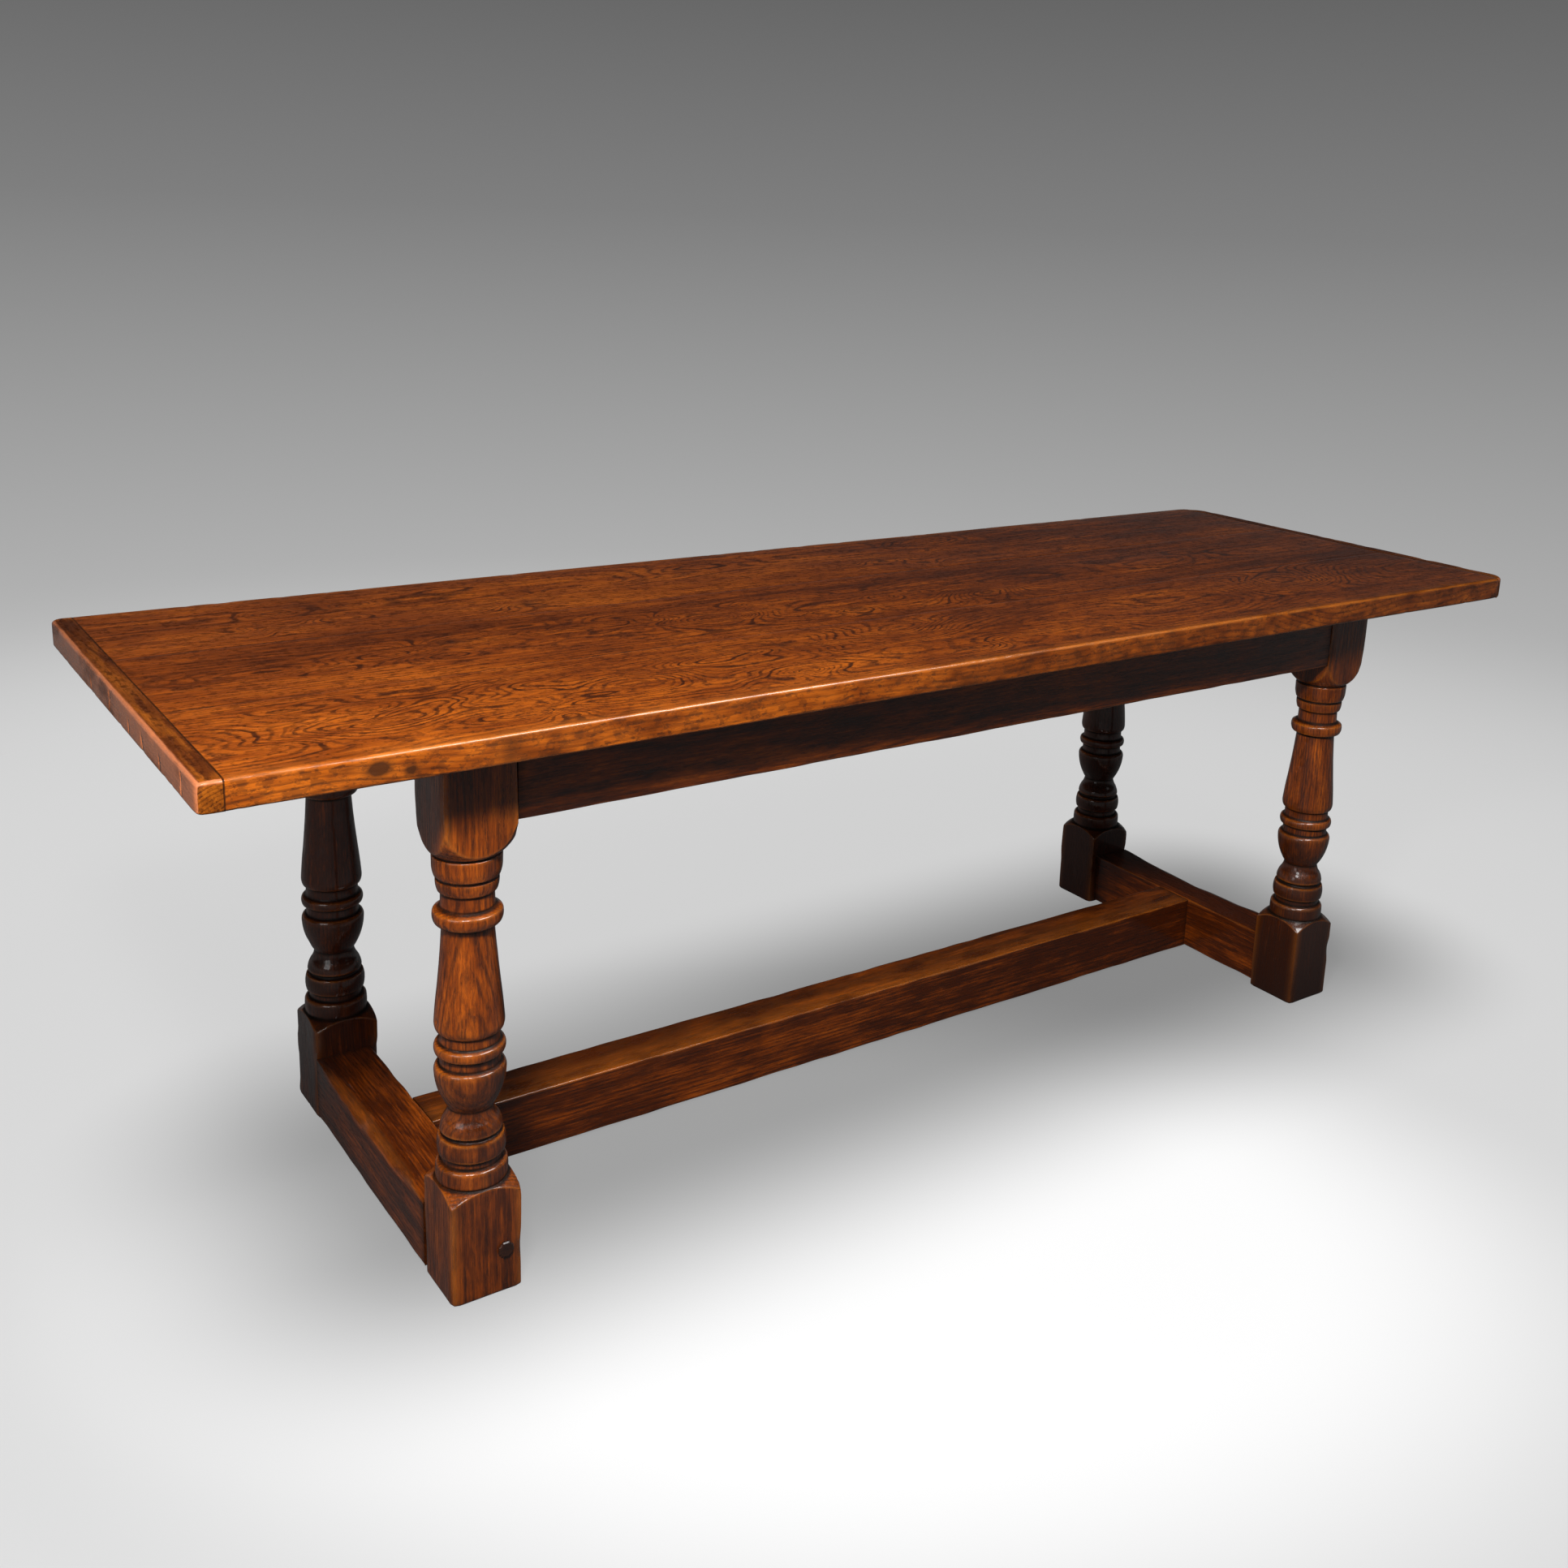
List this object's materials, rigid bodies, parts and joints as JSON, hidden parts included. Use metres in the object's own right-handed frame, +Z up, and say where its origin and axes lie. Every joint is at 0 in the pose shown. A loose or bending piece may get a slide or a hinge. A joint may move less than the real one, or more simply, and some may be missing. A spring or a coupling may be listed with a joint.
{
  "type": "refectory table",
  "caption": "Long dark oak refectory table: boarded top with cleated ends on turned baluster legs, joined by rails and a low H stretcher, for seating people along both sides.",
  "frame": {"origin": "on the floor under the middle of the top", "axes": "+X along the table's length, front at -Y, +Z up"},
  "size_m": [2.262, 0.76, 0.77],
  "materials": {
    "top_oak": "old waxed oak, worn lighter along the edges",
    "cleat_oak": "old waxed oak, grain across the table",
    "leg_oak": "turned oak with dark wax in the grooves",
    "rail_oak": "dark stained oak",
    "stretcher_oak": "dark stained oak, foot worn",
    "peg_oak": "black with age",
    "button_oak": "plain unstained oak",
    "screw_steel": "dull steel"
  },
  "bodies": {
    "root": {"top_board_front": "top_oak", "top_board_middle": "top_oak", "top_board_back": "top_oak", "cleat_left": "cleat_oak", "cleat_right": "cleat_oak", "leg_front_left": "leg_oak", "leg_front_right": "leg_oak", "leg_back_left": "leg_oak", "leg_back_right": "leg_oak", "rail_front": "rail_oak", "rail_back": "rail_oak", "rail_left": "rail_oak", "rail_right": "rail_oak", "stretcher_left": "stretcher_oak", "stretcher_right": "stretcher_oak", "stretcher_long": "stretcher_oak", "foot_peg": "peg_oak", "button_front_1": "button_oak", "button_front_2": "button_oak", "button_front_3": "button_oak", "button_front_4": "button_oak", "button_back_1": "button_oak", "button_back_2": "button_oak", "button_back_3": "button_oak", "button_back_4": "button_oak", "button_left_1": "button_oak", "button_left_2": "button_oak", "button_right_1": "button_oak", "button_right_2": "button_oak", "button_screws": "screw_steel"}
  },
  "joints": []
}
